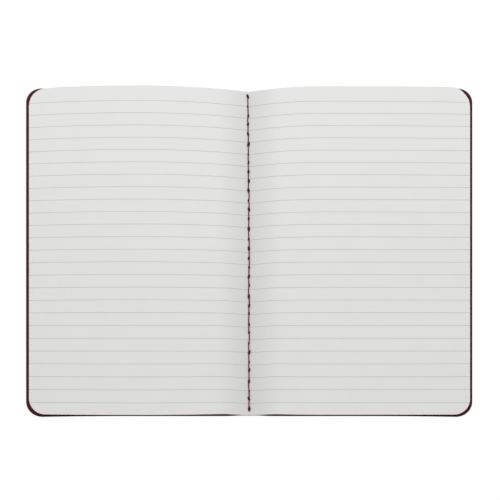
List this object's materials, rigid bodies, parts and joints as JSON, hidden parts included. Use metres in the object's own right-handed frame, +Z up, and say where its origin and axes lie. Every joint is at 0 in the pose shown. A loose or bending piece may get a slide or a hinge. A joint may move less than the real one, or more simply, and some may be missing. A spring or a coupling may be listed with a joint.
{
  "type": "open composition notebook",
  "caption": "Thread-sewn notebook lying open at its middle, with blank ruled pages, rounded corners and a soft dark red card cover that folds shut.",
  "frame": {"origin": "on the table under the middle of the fold", "axes": "+X to the right-hand fore-edge, +Y to the head of the pages, +Z up"},
  "size_m": [0.284, 0.21, 0.012],
  "materials": {
    "cover_card": "matt grained card, dyed dark red all through",
    "ruled_paper": "matt uncoated white paper with pale grey ruled lines",
    "sewing_thread": "twisted dark red sewing thread with a slight sheen"
  },
  "bodies": {
    "back_half": {"back_cover": "cover_card", "right_pages": "ruled_paper", "inner_thread": "sewing_thread", "outer_thread": "sewing_thread"},
    "front_half": {"front_cover": "cover_card", "left_pages": "ruled_paper"}
  },
  "joints": [
    {"name": "front_cover_hinge", "type": "hinge", "parent": "back_half", "child": "front_half", "pos_m": [0, 0, 0.008], "axis": [0, 1, 0], "range_deg": [0, 170]}
  ]
}
